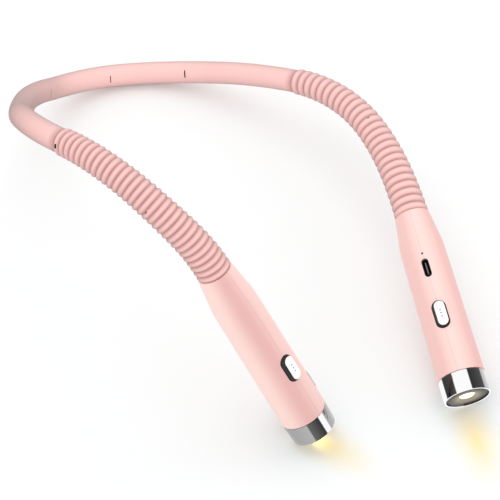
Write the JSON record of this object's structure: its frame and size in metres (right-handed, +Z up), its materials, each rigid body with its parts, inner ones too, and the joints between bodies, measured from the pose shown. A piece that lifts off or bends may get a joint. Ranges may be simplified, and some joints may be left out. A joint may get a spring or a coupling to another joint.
{
  "type": "neck reading light",
  "caption": "Reading light worn round the neck: a smooth band, bendable ribbed arms, and a lamp head with a push button on each arm.",
  "frame": {"origin": "middle of the bounding box, on the surface that the light stands on", "axes": "+Z up; the lamps point towards -Y and the band passes behind the neck at +Y; +X is the side of the head with the charging port"},
  "size_m": [0.1891, 0.3054, 0.1394],
  "materials": {
    "pink_silicone": "satin silicone",
    "pink_plastic": "satin",
    "chrome": "mirror-bright plating",
    "dark_plastic": "satin",
    "clear_plastic": "clear, glossy",
    "white_plastic": "satin gloss",
    "steel": "wound wire",
    "nickel": "nickel plated",
    "circuit_green": "solder mask",
    "aluminium": "turned",
    "yellow_phosphor": "phosphor coating",
    "battery_wrap": "shrink-wrapped cell",
    "cable_jacket": "jacket"
  },
  "bodies": {
    "band": {"band_sleeve": "pink_silicone", "band_core": "steel", "cable": "cable_jacket"},
    "left_arm_1": {"left_sleeve_1": "pink_silicone", "left_core_1": "steel"},
    "left_arm_2": {"left_sleeve_2": "pink_silicone", "left_core_2": "steel"},
    "left_arm_3": {"left_sleeve_3": "pink_silicone", "left_core_3": "steel"},
    "left_arm_4": {"left_sleeve_4": "pink_silicone", "left_core_4": "steel"},
    "left_head": {"left_sleeve_5": "pink_silicone", "left_core_5": "steel", "left_shell_inner": "pink_plastic", "left_shell_outer": "pink_plastic", "left_bezel": "chrome", "left_face_plate": "dark_plastic", "left_lens": "clear_plastic", "left_reflector": "aluminium", "left_led_board": "aluminium", "left_led": "yellow_phosphor", "left_circuit_board": "circuit_green", "left_switch": "nickel", "left_battery": "battery_wrap", "left_collar": "nickel", "left_side_switch": "nickel"},
    "left_button": {"left_button": "white_plastic", "left_switch_plunger": "dark_plastic"},
    "left_side_button": {"left_side_button": "white_plastic", "left_side_switch_plunger": "dark_plastic"},
    "right_arm_1": {"right_sleeve_1": "pink_silicone", "right_core_1": "steel"},
    "right_arm_2": {"right_sleeve_2": "pink_silicone", "right_core_2": "steel"},
    "right_arm_3": {"right_sleeve_3": "pink_silicone", "right_core_3": "steel"},
    "right_arm_4": {"right_sleeve_4": "pink_silicone", "right_core_4": "steel"},
    "right_head": {"right_sleeve_5": "pink_silicone", "right_core_5": "steel", "right_shell_inner": "pink_plastic", "right_shell_outer": "pink_plastic", "right_bezel": "chrome", "right_face_plate": "dark_plastic", "right_lens": "clear_plastic", "right_reflector": "aluminium", "right_led_board": "aluminium", "right_led": "yellow_phosphor", "right_circuit_board": "circuit_green", "right_switch": "nickel", "right_battery": "battery_wrap", "right_collar": "nickel", "right_usb_socket": "nickel", "right_usb_tongue": "dark_plastic", "right_indicator": "clear_plastic"},
    "right_button": {"right_button": "white_plastic", "right_switch_plunger": "dark_plastic"}
  },
  "joints": [
    {"name": "left_spread", "type": "hinge", "parent": "band", "child": "left_arm_1", "pos_m": [-0.0717, 0.09544, 0.08315], "axis": [0.363, 0.5698, 0.7373], "range_deg": [-20, 5], "deforming": ["band_sleeve", "cable", "left_sleeve_1"]},
    {"name": "left_swing_1", "type": "hinge", "parent": "left_arm_1", "child": "left_arm_2", "pos_m": [-0.08414, 0.01852, 0.13226], "axis": [-0.0133, 0.0529, 0.9985], "range_deg": [-35, 10], "deforming": ["left_sleeve_1", "left_sleeve_2"]},
    {"name": "left_lift_1", "type": "hinge", "parent": "left_arm_2", "child": "left_arm_3", "pos_m": [-0.07712, -0.00647, 0.12874], "axis": [-0.9586, -0.2848, 0], "range_deg": [-35, 35], "deforming": ["left_sleeve_2", "left_sleeve_3"]},
    {"name": "left_swing_2", "type": "hinge", "parent": "left_arm_3", "child": "left_arm_4", "pos_m": [-0.06987, -0.02921, 0.11784], "axis": [0.1781, -0.492, 0.8522], "range_deg": [-40, 15], "deforming": ["left_sleeve_3", "left_sleeve_4"]},
    {"name": "left_lift_2", "type": "hinge", "parent": "left_arm_4", "child": "left_head", "pos_m": [-0.06343, -0.04609, 0.10365], "axis": [-0.9422, -0.3351, 0], "range_deg": [-40, 40], "deforming": ["left_sleeve_4", "left_sleeve_5"]},
    {"name": "left_button_press", "type": "slide", "parent": "left_head", "child": "left_button", "axis": [-0.2242, 0.7931, -0.5663], "range_m": [0, 0.0004], "stiffness_N_per_m": 400},
    {"name": "left_side_button_press", "type": "slide", "parent": "left_head", "child": "left_side_button", "axis": [-0.9604, -0.2786, -0.0099], "range_m": [0, 0.0004], "stiffness_N_per_m": 400},
    {"name": "right_spread", "type": "hinge", "parent": "band", "child": "right_arm_1", "pos_m": [0.04253, 0.12387, 0.00805], "axis": [-0.1266, 0.1311, 0.9833], "range_deg": [-5, 20], "deforming": ["band_sleeve", "cable", "right_sleeve_1"]},
    {"name": "right_swing_1", "type": "hinge", "parent": "right_arm_1", "child": "right_arm_2", "pos_m": [0.08245, 0.04249, 0.0404], "axis": [-0.0533, 0.1928, 0.9798], "range_deg": [-10, 35], "deforming": ["right_sleeve_1", "right_sleeve_2"]},
    {"name": "right_lift_1", "type": "hinge", "parent": "right_arm_2", "child": "right_arm_3", "pos_m": [0.0868, 0.01264, 0.0428], "axis": [-1, 0.0027, 0], "range_deg": [-35, 35], "deforming": ["right_sleeve_2", "right_sleeve_3"]},
    {"name": "right_swing_2", "type": "hinge", "parent": "right_arm_3", "child": "right_arm_4", "pos_m": [0.08351, -0.01306, 0.0405], "axis": [-0.0273, -0.1174, 0.9927], "range_deg": [-15, 40], "deforming": ["right_sleeve_3", "right_sleeve_4"]},
    {"name": "right_lift_2", "type": "hinge", "parent": "right_arm_4", "child": "right_head", "pos_m": [0.07413, -0.04163, 0.03613], "axis": [-0.9292, 0.3696, 0], "range_deg": [-40, 40], "deforming": ["right_sleeve_4", "right_sleeve_5"]},
    {"name": "right_button_press", "type": "slide", "parent": "right_head", "child": "right_button", "axis": [0.3473, 0.0612, -0.9358], "range_m": [0, 0.0004], "stiffness_N_per_m": 400}
  ]
}
